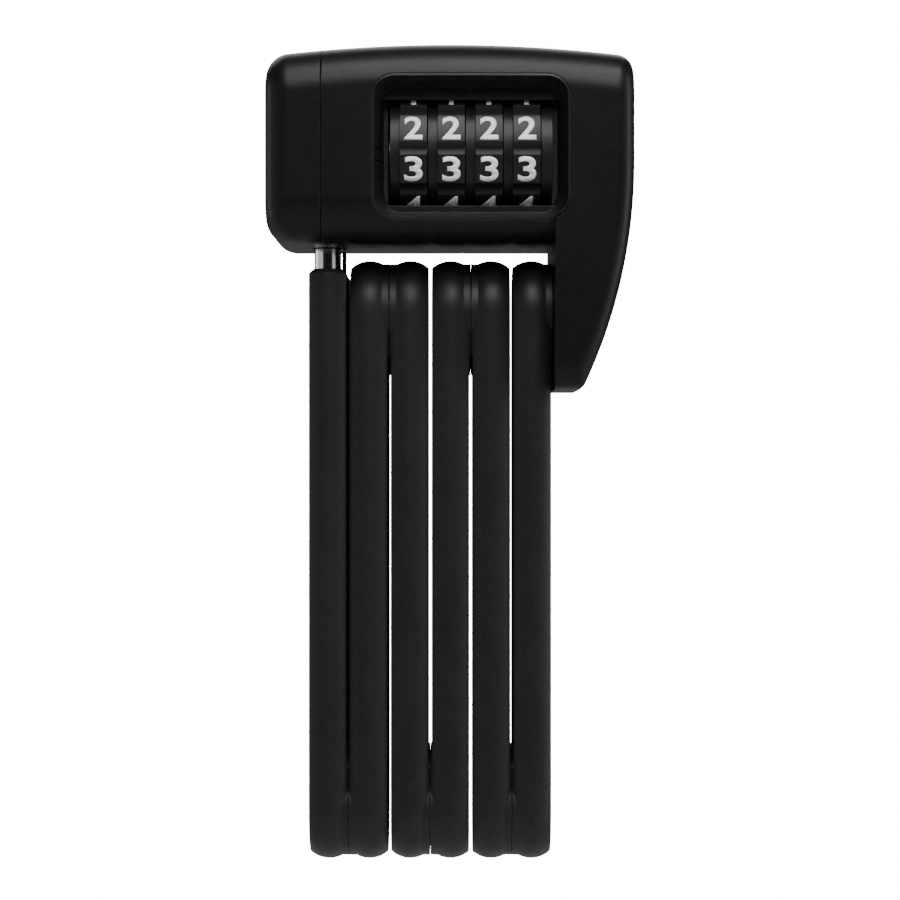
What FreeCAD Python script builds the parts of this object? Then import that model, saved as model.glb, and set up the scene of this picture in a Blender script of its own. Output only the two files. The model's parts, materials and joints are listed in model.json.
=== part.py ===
import FreeCAD, Part
import math
import os

# Folding bike lock: a four-dial head with a hooked arm, and six flat links that
# hang below it side by side.  Millimetres.  +X runs from the bolt to the arm,
# the dials face -Y, +Z is up, and Z = 0 is the lowest point of the links.

V = FreeCAD.Vector
X_AXIS = V(1, 0, 0)
Y_AXIS = V(0, 1, 0)
Z_AXIS = V(0, 0, 1)

# Fits
RUNNING = 0.05            # radial clearance of a shaft or rivet that turns
FIT = 0.05                # gap between fixed pieces that nest
BOLT_CLEARANCE = 0.10     # radial clearance of the locking bolt in its sleeve
OVERRUN = 1.0             # how far a cutting tool reaches past the surface it cuts
NEAR = 0.01               # two positions closer than this are the same
SWING_GAP = 0.40          # room round a dial or a sliding piece

# Links
LINK_COUNT = 6
LINK_PITCH = 7.50         # from one link's middle plane to the next
LINK_WIDTH = 19.50
LINK_BODY = 6.90          # thickness of a sleeved link
CROWN_SAGITTA = 1.30      # how far the rounded edge stands out over the body
PIVOT_SPACING = 91.90
PAD_GAP = 0.10            # between two pads that rub on each other
PAD_RADIUS = 11.60
BOSS_RADIUS = 9.15         # flat boss round a rivet, as thick as its pad
PLATE_THICKNESS = 5.00
PLATE_MARGIN = 1.55       # sleeve wall round the edge of the steel
FIRST_LINK_X = -22.31     # middle plane of the link that carries the bolt
FIRST_LINK_HEIGHT = 109.30
FIRST_LINK_CHAMFER = 0.90
FIRST_LINK_CAP = 1.00     # sleeve wall over the end of its steel

# Rivets
RIVET_RADIUS = 3.50
RIVET_HEAD_RADIUS = 5.00
RIVET_HEAD_HEIGHT = 1.20
RIVET_SINK = 0.10         # heads end this far below the steel's face
WASHER_RADIUS = 6.00
ARM_RIVET_GRIP = 5.50     # length of rivet held in the arm

# Head
HEAD_LENGTH = 66.80
HEAD_DEPTH = 34.00
HEAD_BOTTOM = 113.60
HEAD_TOP = 150.00
DOME_DROP = 2.10          # the top's ends are this much lower than its middle
LONG_EDGE_RADIUS = 8.00
LEFT_END_RADIUS = 4.50
RIGHT_END_RADIUS = 3.20
COVER_WALL = 2.00
END_CAP_LENGTH = 10.20
SEAM_GAP = 0.12

# Arm
ARM_LEFT = 19.00
ARM_BOTTOM = 87.00
ARM_TOP = 136.00
ARM_BEND_TOP = 128.00     # the outer edge is straight above this height
ARM_BEND_LOW = 88.00
ARM_BEND_RADIUS = 95.00
ARM_TOE = 23.60           # X where the flat bottom ends
ARM_TIP_TAPER = 1.60      # each face leans in this much at the tip
ARM_TIP_RADIUS = 5.00
ARM_WALL = 1.60

# Window
WINDOW_CENTRE_X = 3.85
WINDOW_CENTRE_Z = 130.50
WINDOW_WIDTH = 34.90
WINDOW_HEIGHT = 25.40
WINDOW_RADIUS = 3.80
WINDOW_DEPTH = 6.70
WINDOW_TAPER_ENDS = 1.65  # how much each end wall leans in
WINDOW_TAPER_LONG = 2.00  # how much the top and bottom walls lean in
BEZEL_RIM = 0.35
LIP_FRONT = 4.40           # from the head's face to the lip that masks the dials
LIP_THICKNESS = 0.80
LIP_TOP = 139.50
LIP_BOTTOM = 120.30
MARK_WIDTH = 0.24          # of the lines on the window's end walls
MARK_DEPTH = 0.20
WINDOW_MARKS = ((1, 130.50), (-1, 130.50), (-1, 128.20))     # side and height of each line

# Dials
DIAL_COUNT = 4
DIAL_PITCH = 6.83
DIAL_FIRST_X = -6.50
DIAL_RADIUS = 12.10
DIAL_BAND = 4.90
DIAL_POSITIONS = 10
DIAL_SETBACK = 1.50       # front of a dial behind the head's face
DIAL_Z = 130.40
GROOVE_WIDTH = 2.50
GROOVE_DEPTH = 0.94
HUB_RADIUS = 8.00
FLANGE_RADIUS = 11.00
DIAL_SIDE_GAP = 0.08
GATE_DEPTH = 1.90
GATE_WIDTH = 2.70
SPINDLE_RADIUS = 4.00
SPINDLE_NECK = 2.90
SPINDLE_GROOVE = 0.80
SPINDLE_GROOVE_WIDTH = 2.00
CODE_SHIFT = 1.20         # travel of the spindle when the code is being set

# Locking bolt and latch
BOLT_OFFSET = -0.40       # from the first link's middle plane
BOLT_RADIUS = 2.50
BOLT_TIP_Z = 127.20
BOLT_TIP_CHAMFER = 0.80
STUD_RADIUS = 1.60
STUD_LENGTH = 10.00
CROSS_PIN_RADIUS = 0.90
LATCH_Z = 122.00
LATCH_THICKNESS = 1.80
LATCH_TRAVEL = 1.60
NOTCH_RADIUS = 1.40       # bottom of the groove round the bolt
NOTCH_CLEARANCE = 0.10
BOLT_PLAY = 1.80          # how far the locked bolt gives before the latch stops it
SLEEVE_RADIUS = 4.20
SOCKET_WALL = 1.00        # shell left under the bolt's sleeve
MOUTH_TILT = 38.0         # lean of the relief at the socket's mouth, degrees
MOUTH_RISE = 0.60         # lifts the relief so that its arch shows
GUIDE_RIB = (0.60, 4.00, 3.90)     # thickness, width and height of the rib
LATCH_SIDE = 4.20         # from the bolt's axis to the latch's left edge
LATCH_FRONT = -5.60
LATCH_WALL = 1.60         # housing between the latch and the dials
RISER_WIDTH = 6.00
FENCE_THICKNESS = 1.90
FENCE_HALF = 2.30         # half its height
FINGER_WIDTH = 1.20
FINGER_HEIGHT = 1.90
KEYHOLE_RADIUS = 2.80
COVER_PLATE = 1.60
COVER_PLATE_LIP = 1.50
COVER_PLATE_EAR = 4.40    # height above the opening, for its screws

# Springs
SPRING_RADIUS = 1.30
SPRING_WIRE = 0.25
SPRING_TURNS = 4
LATCH_SPRING_INSET = 2.60 # from the latch's right edge
LATCH_SPRING_FRONT = -10.20
SPINDLE_SPRING_RADIUS = 2.30
SPRING_BORE_END = 26.20
SPRING_BORE_RADIUS = 3.20
DETENT_TURNS = 3          # grooves between the front one and the one that it rests in
DETENT_THICKNESS = 0.35
DETENT_BASE_Z = 143.80
DETENT_BASE_Y = (6.00, 13.00)
DETENT_FINGER_WIDTH = 3.60
DETENT_HEEL = (1.00, 9.0) # height over the dial, and degrees behind the groove
DETENT_TIP = (0.60, -8.0)

# Spindle and its setting screw
SPINDLE_LEFT = -27.60
SET_HEAD_RADIUS = 3.20
SET_HEAD_DEPTH = 1.20     # how far the head reaches in behind the cap's wall
SET_SHANK_RADIUS = 2.00
SET_SLOT = (1.00, 1.10)   # width and depth

# Screws
COVER_SCREWS = [(-16.50, 139.50), (27.00, 139.00), (27.00, 124.50)]   # X and Z
COVER_SCREW_RADIUS = 1.40
COVER_SCREW_HEAD = 2.60
COVER_SCREW_LENGTH = 9.00
SCREW_RECESS = 0.40
PLATE_SCREW_RADIUS = 0.80
PLATE_SCREW_HEAD = 1.40
PLATE_SCREW_LENGTH = 5.00
ARM_SCREWS = [(6.00, 118.60), (6.00, 142.00)]    # Y and Z
ARM_SCREW_RADIUS = 1.30
ARM_SCREW_HEAD = 2.40
ARM_SCREW_HEAD_LENGTH = 2.20
ARM_SCREW_START = 12.00
ARM_SCREW_SEAT = 26.00

# Values that follow from the ones above
BODY_HALF = LINK_BODY / 2
HALF_WIDTH = LINK_WIDTH / 2
PAD_HALF = (LINK_PITCH - PAD_GAP) / 2
PLATE_HALF = PLATE_THICKNESS / 2
PLATE_EDGE = HALF_WIDTH - PLATE_MARGIN
CROWN_RADIUS = (BODY_HALF ** 2 + CROWN_SAGITTA ** 2) / (2 * CROWN_SAGITTA)
LOW_PIVOT = HALF_WIDTH
HIGH_PIVOT = LOW_PIVOT + PIVOT_SPACING
LINK_X = [FIRST_LINK_X + LINK_PITCH * i for i in range(LINK_COUNT)]
WASHER_THICKNESS = LINK_PITCH - PLATE_THICKNESS - 2 * RUNNING
HEAD_LEFT = -HEAD_LENGTH / 2
HEAD_RIGHT = HEAD_LENGTH / 2
FACE_Y = -HEAD_DEPTH / 2
SEAM_X = HEAD_LEFT + END_CAP_LENGTH
HOUSING_END = ARM_LEFT + ARM_WALL
DIAL_Y = FACE_Y + DIAL_SETBACK + DIAL_RADIUS
DIAL_X = [DIAL_FIRST_X + DIAL_PITCH * i for i in range(DIAL_COUNT)]
FLANGE_WIDTH = DIAL_PITCH - DIAL_BAND - 2 * DIAL_SIDE_GAP
DIAL_ROOM = DIAL_RADIUS + SWING_GAP
CHAMBER_LEFT = DIAL_X[0] - DIAL_BAND / 2 - FLANGE_WIDTH - SWING_GAP
CHAMBER_RIGHT = DIAL_X[-1] + DIAL_BAND / 2 + FLANGE_WIDTH + SWING_GAP
BOLT_X = FIRST_LINK_X + BOLT_OFFSET
STEP = 360.0 / DIAL_POSITIONS
LATCH_LOW = LATCH_Z - LATCH_THICKNESS / 2
LATCH_HIGH = LATCH_Z + LATCH_THICKNESS / 2
LATCH_LEFT = BOLT_X - LATCH_SIDE
LATCH_RIGHT = CHAMBER_LEFT - LATCH_WALL
RISER_LEFT = LATCH_RIGHT - RISER_WIDTH
FENCE_FRONT = DIAL_Y + DIAL_RADIUS + SWING_GAP / 2 + LATCH_TRAVEL
FENCE_BACK = FENCE_FRONT + FENCE_THICKNESS
FENCE_RIGHT = DIAL_X[-1] + DIAL_BAND / 2
FINGER_TIP = DIAL_Y + FLANGE_RADIUS + SWING_GAP
POCKET_BACK = FENCE_BACK + SWING_GAP
LATCH_SPRING_X = LATCH_RIGHT - LATCH_SPRING_INSET
SOCKET_LOW = HEAD_BOTTOM + SOCKET_WALL
SPINDLE_RIGHT = HOUSING_END - CODE_SHIFT - SWING_GAP
EXTENT = 2 * HEAD_TOP     # reaches past the lock in any direction


def box(x_low, x_high, y_low, y_high, z_low, z_high):
    """A block between two limits on each axis."""
    return Part.makeBox(x_high - x_low, y_high - y_low, z_high - z_low, V(x_low, y_low, z_low))


def rod(radius, start, axis, length):
    """A round bar from a point along an axis."""
    return Part.makeCylinder(radius, length, V(*start), axis)


def cone(radius_low, radius_high, start, axis, length):
    """A round bar whose radius changes evenly along an axis."""
    return Part.makeCone(radius_low, radius_high, length, V(*start), axis)


def prism(points, direction):
    """A flat closed outline of straight edges, pushed along a direction."""
    corners = [V(*point) for point in points]
    return Part.Face(Part.makePolygon(corners + corners[:1])).extrude(direction)


def joined(shapes):
    """Several solids as one, without the seams between them."""
    return shapes[0].multiFuse(shapes[1:]).removeSplitter()


def edges_where(shape, test):
    """The edges of a shape whose bounding box passes a test."""
    return [edge for edge in shape.Edges if test(edge.BoundBox)]


def rounded_frame(width, height, radius, y):
    """A rounded rectangle round the window's centre, as a wire at one depth."""
    x, z = WINDOW_CENTRE_X, WINDOW_CENTRE_Z
    half_x, half_z = width / 2, height / 2
    inner_x, inner_z = half_x - radius, half_z - radius
    slant = radius * math.sqrt(0.5)
    edges = []
    for turn in range(4):
        sign_x = (1, -1, -1, 1)[turn]
        sign_z = (1, 1, -1, -1)[turn]
        centre = (x + sign_x * inner_x, z + sign_z * inner_z)
        side = V(x + sign_x * half_x, y, centre[1])
        middle = V(centre[0] + sign_x * slant, y, centre[1] + sign_z * slant)
        end = V(centre[0], y, z + sign_z * half_z)
        points = (side, middle, end) if sign_x == sign_z else (end, middle, side)
        edges.append(Part.Arc(*points).toShape())
    for first, second in zip(edges[:], edges[1:] + edges[:1]):
        start = first.valueAt(first.LastParameter)
        finish = second.valueAt(second.FirstParameter)
        edges.append(Part.makeLine(start, finish))
    return Part.Wire(Part.__sortEdges__(edges))


# ---------------------------------------------------------------- links

def crowned_bar(x_low, x_high, z_low, z_high, round_top=True):
    """A bar with bulging edges and round ends about its two pivot heights."""
    def half_width(x):
        return HALF_WIDTH - CROWN_RADIUS + math.sqrt(CROWN_RADIUS ** 2 - x ** 2)

    def section(side):
        return [V(x, side * half_width(x), 0) for x in (x_low, (x_low + x_high) / 2, x_high)]

    near, crest, far = section(-1)
    near_back, crest_back, far_back = section(1)
    edges = [Part.Arc(near, crest, far).toShape(),
             Part.makeLine(far, far_back),
             Part.Arc(far_back, crest_back, near_back).toShape(),
             Part.makeLine(near_back, near)]
    outline = Part.Face(Part.Wire(edges))
    outline.translate(V(0, 0, z_low))
    middle = outline.extrude(V(0, 0, z_high - z_low))
    half_edges = [Part.Arc(far_back, crest_back, near_back).toShape(),
                  Part.makeLine(near_back, V(x_low, 0, 0)),
                  Part.makeLine(V(x_low, 0, 0), V(x_high, 0, 0)),
                  Part.makeLine(V(x_high, 0, 0), far_back)]
    end = Part.Face(Part.Wire(half_edges)).revolve(V(0, 0, 0), X_AXIS, 360)
    heights = [z_low, z_high] if round_top else [z_low]
    ends = [end.translated(V(0, 0, height)) for height in heights]
    return joined([middle] + ends)


def racetrack(half_width, half_thickness, z_low, z_high):
    """A flat bar with round ends about its two pivot heights."""
    bar = box(-half_thickness, half_thickness, -half_width, half_width, z_low, z_high)
    ends = [rod(half_width, (-half_thickness, 0, height), X_AXIS, 2 * half_thickness)
            for height in (z_low, z_high)]
    return joined([bar] + ends)


def pad(side, height):
    """The raised disc on one side of a link, where it rubs on its neighbour."""
    thick = crowned_bar(min(0, side * PAD_HALF), max(0, side * PAD_HALF), LOW_PIVOT, HIGH_PIVOT)
    disc = rod(PAD_RADIUS, (-PAD_HALF, 0, height), X_AXIS, 2 * PAD_HALF)
    boss = rod(BOSS_RADIUS, (min(0, side * PAD_HALF), 0, height), X_AXIS, PAD_HALF)
    return joined([thick.common(disc), boss])


def rivet_solid(x_low, x_high, height, grow=0.0, reach=0.0):
    """A rivet with a sunk head at each end; grow and reach make its hole."""
    start, finish = x_low - reach, x_high + reach
    shank = rod(RIVET_RADIUS + grow, (start, 0, height), X_AXIS, finish - start)
    wide = RIVET_HEAD_RADIUS + grow
    narrow = RIVET_RADIUS + grow
    left = cone(wide, narrow, (x_low, 0, height), X_AXIS, RIVET_HEAD_HEIGHT)
    right = cone(narrow, wide, (x_high - RIVET_HEAD_HEIGHT, 0, height), X_AXIS,
                 RIVET_HEAD_HEIGHT)
    parts = [shank, left, right]
    if reach:
        parts.append(rod(wide, (start, 0, height), X_AXIS, reach))
        parts.append(rod(wide, (x_high, 0, height), X_AXIS, reach))
    return joined(parts)


def rivet_ends(low_link):
    """Where the rivet between a link and the one to its right begins and ends."""
    x_low = LINK_X[low_link] - PLATE_HALF + RIVET_SINK
    x_high = LINK_X[low_link + 1] + PLATE_HALF - RIVET_SINK
    return x_low, x_high


def pair_height(low_link):
    """Pivot height of a pair: the first pair is joined at the bottom."""
    return LOW_PIVOT if low_link % 2 == 0 else HIGH_PIVOT


def arm_rivet_ends():
    """The last rivet runs from the last link's steel into the arm."""
    return LINK_X[-1] - PLATE_HALF + RIVET_SINK, HOUSING_END + ARM_RIVET_GRIP


def arm_rivet(grow=0.0, reach=0.0):
    """The rivet that holds the last link to the arm, with one sunk head."""
    x_low, x_high = arm_rivet_ends()
    shank = rod(RIVET_RADIUS + grow, (x_low - reach, 0, HIGH_PIVOT), X_AXIS,
                x_high - x_low + reach)
    head = cone(RIVET_HEAD_RADIUS + grow, RIVET_RADIUS + grow, (x_low, 0, HIGH_PIVOT),
                X_AXIS, RIVET_HEAD_HEIGHT)
    parts = [shank, head]
    if reach:
        parts.append(rod(RIVET_HEAD_RADIUS + grow, (x_low - reach, 0, HIGH_PIVOT), X_AXIS,
                         reach))
    return joined(parts)


def washer(x_low, x_high, height):
    """The flat ring that spaces two steel plates round their rivet."""
    ring = rod(WASHER_RADIUS, (x_low, 0, height), X_AXIS, x_high - x_low)
    return ring.cut(rod(RIVET_RADIUS + FIT, (x_low, 0, height), X_AXIS, x_high - x_low))


def link_joints(index):
    """For each pivot of a link: its height, the side of its partner, its rivet hole."""
    joints = []
    for low_link in (index - 1, index):
        if 0 <= low_link < LINK_COUNT - 1:
            side = 1 if low_link == index else -1
            x_low, x_high = rivet_ends(low_link)
            hole = rivet_solid(x_low, x_high, pair_height(low_link), RUNNING, RIVET_SINK)
            joints.append((pair_height(low_link), side, hole))
    if index == LINK_COUNT - 1:
        joints.append((HIGH_PIVOT, 1, arm_rivet(RUNNING, RIVET_SINK)))
    return joints


def bolt_profile(radius, z_low, z_high):
    """A bar on the bolt's axis."""
    return rod(radius, (BOLT_X, 0, z_low), Z_AXIS, z_high - z_low)


def cross_pin(grow=0.0):
    """The pin through the first link's steel that holds the bolt's stud."""
    height = FIRST_LINK_HEIGHT - FIRST_LINK_CAP - STUD_LENGTH / 2
    return rod(CROSS_PIN_RADIUS + grow, (LINK_X[0] - PLATE_HALF, 0, height), X_AXIS,
               PLATE_THICKNESS)


def plate_blank(index):
    """The outline of a link's steel bar, without its holes."""
    if index == 0:
        top = FIRST_LINK_HEIGHT - FIRST_LINK_CAP
        blank = joined([box(-PLATE_HALF, PLATE_HALF, -PLATE_EDGE, PLATE_EDGE, LOW_PIVOT, top),
                        rod(PLATE_EDGE, (-PLATE_HALF, 0, LOW_PIVOT), X_AXIS, PLATE_THICKNESS)])
    else:
        blank = racetrack(PLATE_EDGE, PLATE_HALF, LOW_PIVOT, HIGH_PIVOT)
    return blank.translated(V(LINK_X[index], 0, 0))


def link_plate(index):
    """The hardened steel bar inside a link."""
    plate = plate_blank(index)
    for _, _, hole in link_joints(index):
        plate = plate.cut(hole)
    if index == 0:
        top = FIRST_LINK_HEIGHT - FIRST_LINK_CAP
        stud_hole = bolt_profile(STUD_RADIUS + FIT, top - STUD_LENGTH - FIT, top)
        plate = plate.cut(stud_hole).cut(cross_pin(FIT))
    return plate


def first_link_outline():
    """The bolt's link: round at the bottom, cut off flat at the top."""
    bar = crowned_bar(-BODY_HALF, BODY_HALF, LOW_PIVOT, FIRST_LINK_HEIGHT, round_top=False)
    top_edges = edges_where(bar, lambda b: b.ZMin > FIRST_LINK_HEIGHT - NEAR)
    return bar.makeChamfer(FIRST_LINK_CHAMFER, top_edges)


def guide_rib():
    """A short rib beside the bolt that steers it into its socket."""
    thickness, width, height = GUIDE_RIB
    x_low = BOLT_X + BOLT_RADIUS + SWING_GAP / 2
    z_low = FIRST_LINK_HEIGHT - FIRST_LINK_CAP
    return box(x_low, x_low + thickness, 0, width, z_low, z_low + FIRST_LINK_CAP + height)


def link_sleeve(index):
    """The moulded skin round a link, open where its washers pass through."""
    if index == 0:
        outline = first_link_outline()
    else:
        outline = crowned_bar(-BODY_HALF, BODY_HALF, LOW_PIVOT, HIGH_PIVOT)
    joints = link_joints(index)
    pads = [pad(side, height) for height, side, _ in joints]
    sleeve = joined([outline] + pads).translated(V(LINK_X[index], 0, 0))
    if index == 0:
        top = FIRST_LINK_HEIGHT - FIRST_LINK_CAP
        sleeve = joined([sleeve, guide_rib()])
        sleeve = sleeve.cut(bolt_profile(BOLT_RADIUS + FIT, top, HEAD_BOTTOM))
    sleeve = sleeve.cut(plate_blank(index))
    for height, side, _ in joints:
        reach = side * (PAD_HALF + FIT)
        hole = rod(WASHER_RADIUS + BOLT_CLEARANCE, (LINK_X[index] + min(0, reach), 0, height),
                   X_AXIS, abs(reach))
        sleeve = sleeve.cut(hole)
    return sleeve


# ---------------------------------------------------------------- head shell

def head_solid(inset):
    """The head's rounded block without its arm's corner, smaller by inset."""
    left, right = HEAD_LEFT + inset, HEAD_RIGHT - inset
    bottom, crown = HEAD_BOTTOM + inset, HEAD_TOP - inset
    shoulder = crown - DOME_DROP
    depth = HEAD_DEPTH / 2 - inset
    low_left, low_right = V(left, -depth, bottom), V(right, -depth, bottom)
    high_left, high_right = V(left, -depth, shoulder), V(right, -depth, shoulder)
    edges = [Part.makeLine(low_left, low_right),
             Part.makeLine(low_right, high_right),
             Part.Arc(high_right, V(0, -depth, crown), high_left).toShape(),
             Part.makeLine(high_left, low_left)]
    block = Part.Face(Part.Wire(edges)).extrude(V(0, 2 * depth, 0))
    long_edges = edges_where(block, lambda b: b.XLength > END_CAP_LENGTH)
    block = block.makeFillet(LONG_EDGE_RADIUS - inset, long_edges)
    for radius, end_x in ((LEFT_END_RADIUS, left), (RIGHT_END_RADIUS, right)):
        end_edges = edges_where(block, lambda b: abs(b.XMax - end_x) + abs(b.XMin - end_x) < NEAR)
        block = block.makeFillet(radius - inset, end_edges)
    shoulder_x = ARM_LEFT + 2 * RIGHT_END_RADIUS
    arm_place = box(shoulder_x, EXTENT, -EXTENT, EXTENT, 0, ARM_TOP - RIGHT_END_RADIUS)
    return block.cut(arm_place)


def arm_outline(inset):
    """The arm seen from the front, smaller by inset on every side."""
    def bend(z):
        drop = ARM_BEND_TOP - z
        return V(HEAD_RIGHT - ARM_BEND_RADIUS + math.sqrt(ARM_BEND_RADIUS ** 2 - drop ** 2), 0, z)

    high, low = bend(ARM_BEND_TOP), bend(ARM_BEND_LOW)
    middle = bend((ARM_BEND_TOP + ARM_BEND_LOW) / 2)
    corner = V(ARM_LEFT, 0, ARM_BOTTOM)
    toe = V(ARM_TOE, 0, ARM_BOTTOM)
    top_left, top_right = V(ARM_LEFT, 0, ARM_TOP), V(HEAD_RIGHT, 0, ARM_TOP)
    edges = [Part.makeLine(top_left, corner),
             Part.makeLine(corner, toe),
             Part.makeLine(toe, low),
             Part.Arc(low, middle, high).toShape(),
             Part.makeLine(high, top_right),
             Part.makeLine(top_right, top_left)]
    face = Part.Face(Part.Wire(edges))
    return face.makeOffset2D(-inset, join=2) if inset else face


def arm_solid(inset):
    """The hooked arm, leaning in towards a rounded tip; square edged when inset."""
    slab = arm_outline(inset).translated(V(0, -HEAD_DEPTH, 0)).extrude(V(0, 2 * HEAD_DEPTH, 0))
    wide = HEAD_DEPTH / 2 - inset
    tip = wide - ARM_TIP_TAPER
    low = ARM_BOTTOM + inset
    waist = (HEAD_BOTTOM + low) / 2
    bulge = wide - ARM_TIP_TAPER / 4

    def flank(sign):
        top, bend = V(0, sign * wide, ARM_TOP), V(0, sign * wide, HEAD_BOTTOM)
        toe = V(0, sign * tip, low)
        return [Part.makeLine(top, bend), Part.Arc(bend, V(0, sign * bulge, waist), toe).toShape()]

    edges = flank(-1) + flank(1)
    edges.append(Part.makeLine(V(0, -tip, low), V(0, tip, low)))
    edges.append(Part.makeLine(V(0, -wide, ARM_TOP), V(0, wide, ARM_TOP)))
    side = Part.Face(Part.Wire(Part.__sortEdges__(edges))).extrude(V(HEAD_LENGTH, 0, 0))
    arm = slab.common(side)
    if not inset:
        outer = edges_where(arm, lambda b: b.XMin > ARM_TOE and b.ZLength > 5
                            and b.YMin * b.YMax > 0)
        arm = arm.makeFillet(RIGHT_END_RADIUS, outer)
    tips = edges_where(side, lambda b: b.ZMax < low + NEAR and b.XLength > OVERRUN)
    return arm.common(side.makeFillet(ARM_TIP_RADIUS - inset, tips))


def head_outer():
    """The whole outer shape of the head and its arm."""
    return joined([head_solid(0), arm_solid(0)])


def head_inner():
    """The space inside the covers."""
    return joined([head_solid(COVER_WALL), arm_solid(ARM_WALL)])


def window_opening(grow_top=0.0):
    """The tapered opening in front of the dials."""
    front_y = FACE_Y - grow_top
    slope_x = WINDOW_TAPER_ENDS / WINDOW_DEPTH
    slope_z = WINDOW_TAPER_LONG / WINDOW_DEPTH
    front = rounded_frame(WINDOW_WIDTH + 2 * slope_x * grow_top,
                          WINDOW_HEIGHT + 2 * slope_z * grow_top, WINDOW_RADIUS, front_y)
    back = rounded_frame(WINDOW_WIDTH - 2 * WINDOW_TAPER_ENDS,
                         WINDOW_HEIGHT - 2 * WINDOW_TAPER_LONG,
                         WINDOW_RADIUS - BEZEL_RIM, FACE_Y + WINDOW_DEPTH)
    return Part.makeLoft([front, back], True, True)


def bezel_block(grow):
    """The outside of the window's lining, or with grow the hole that takes it."""
    wire = rounded_frame(WINDOW_WIDTH + 2 * (BEZEL_RIM + grow),
                         WINDOW_HEIGHT + 2 * (BEZEL_RIM + grow),
                         WINDOW_RADIUS + BEZEL_RIM, FACE_Y - BEZEL_RIM)
    return Part.Face(wire).extrude(V(0, WINDOW_DEPTH + BEZEL_RIM + grow, 0))


def mouth_relief():
    """The slanted scoop that lets the bolt swing clear of its socket's mouth."""
    radius = BOLT_RADIUS + BOLT_CLEARANCE + 2 * FIT
    angle = math.radians(MOUTH_TILT)
    axis = V(0, -math.sin(angle), -math.cos(angle))
    start = HEAD_BOTTOM + radius * math.tan(angle) / 2 + MOUTH_RISE
    return rod(radius, (BOLT_X, 0, start), axis, HEAD_DEPTH / 2)


def socket_cut():
    """Everything that the bolt's sleeve and mouth take out of the shell."""
    bore = bolt_profile(SLEEVE_RADIUS + FIT, SOCKET_LOW, LATCH_Z)
    mouth = bolt_profile(BOLT_RADIUS + BOLT_CLEARANCE + FIT, HEAD_BOTTOM - OVERRUN, LATCH_Z)
    return joined([bore, mouth, mouth_relief()])


def screw(x, y_top, z, radius, head_radius, length, grow=0.0):
    """A countersunk screw along Y, its head flush at y_top; grow makes its hole."""
    sink = head_radius - radius
    head = cone(radius + grow, head_radius + grow, (x, y_top - sink, z), Y_AXIS, sink)
    shank = rod(radius + grow, (x, y_top - length, z), Y_AXIS, length)
    return joined([head, shank])


def cross_slot(x, y_top, z, size):
    """The cross recess in a screw's head."""
    arm, half, depth = size, size / 5, size / 2
    flat = box(x - arm, x + arm, y_top - depth, y_top + OVERRUN, z - half, z + half)
    tall = box(x - half, x + half, y_top - depth, y_top + OVERRUN, z - arm, z + arm)
    return flat.fuse(tall)


def cover_screw_set(grow=0.0):
    """The screws through the rear cover, or with grow their holes."""
    top = HEAD_DEPTH / 2 - SCREW_RECESS
    screws = []
    for x, z in COVER_SCREWS:
        one = screw(x, top, z, COVER_SCREW_RADIUS, COVER_SCREW_HEAD, COVER_SCREW_LENGTH, grow)
        if grow:
            one = one.fuse(rod(COVER_SCREW_HEAD + grow, (x, top, z), Y_AXIS, OVERRUN))
        else:
            one = one.cut(cross_slot(x, top, z, COVER_SCREW_RADIUS))
        screws.append(one)
    return Part.makeCompound(screws)


def set_screw_hole(grow=0.0):
    """The round seat of the code-setting screw in the end cap."""
    return rod(SET_HEAD_RADIUS + grow, (HEAD_LEFT - OVERRUN, DIAL_Y, DIAL_Z), X_AXIS,
               OVERRUN + COVER_WALL + SET_HEAD_DEPTH)


def shell_pieces():
    """The front cover, the rear cover and the end cap, by node name."""
    shell = head_outer().cut(head_inner())
    shell = shell.cut(socket_cut())
    washer_hole = rod(WASHER_RADIUS + BOLT_CLEARANCE, (ARM_LEFT - OVERRUN, 0, HIGH_PIVOT), X_AXIS,
                      ARM_WALL + OVERRUN + FIT)
    shell = shell.cut(washer_hole)
    front_half = box(SEAM_X + SEAM_GAP, EXTENT, -EXTENT, 0, 0, EXTENT)
    rear_half = box(SEAM_X + SEAM_GAP, EXTENT, 0, EXTENT, 0, EXTENT)
    cap_end = box(-EXTENT, SEAM_X, -EXTENT, EXTENT, 0, EXTENT)
    return {
        "front_cover": shell.common(front_half).cut(bezel_block(FIT)),
        "rear_cover": shell.common(rear_half).cut(cover_screw_set(FIT)),
        "end_cap": shell.common(cap_end).cut(set_screw_hole(FIT)),
    }


def window_lip():
    """The flat edge inside the window that masks the dials above and below."""
    front = FACE_Y + LIP_FRONT
    layer = box(-EXTENT, EXTENT, front, front + LIP_THICKNESS, 0, EXTENT)
    layer = layer.cut(box(-EXTENT, EXTENT, -EXTENT, EXTENT, LIP_BOTTOM, LIP_TOP))
    return bezel_block(0).common(layer)


def window_marks():
    """The index lines cut into the window's end walls."""
    width = WINDOW_WIDTH + 2 * MARK_DEPTH
    front = rounded_frame(width, WINDOW_HEIGHT, WINDOW_RADIUS, FACE_Y)
    back = rounded_frame(width - 2 * WINDOW_TAPER_ENDS, WINDOW_HEIGHT, WINDOW_RADIUS,
                         FACE_Y + WINDOW_DEPTH)
    room = Part.makeLoft([front, back], True, True)
    slots = [box(WINDOW_CENTRE_X + min(0, side * EXTENT), WINDOW_CENTRE_X + max(0, side * EXTENT),
                 -EXTENT, EXTENT, height - MARK_WIDTH / 2, height + MARK_WIDTH / 2)
             for side, height in WINDOW_MARKS]
    return room.common(Part.makeCompound(slots))


def window_bezel():
    """The tapered lining of the window, cut flush with the rounded face."""
    block = bezel_block(0).cut(window_opening(BEZEL_RIM + OVERRUN)).cut(window_marks())
    return joined([block, window_lip()]).common(head_solid(0))


# ---------------------------------------------------------------- dials

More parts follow.
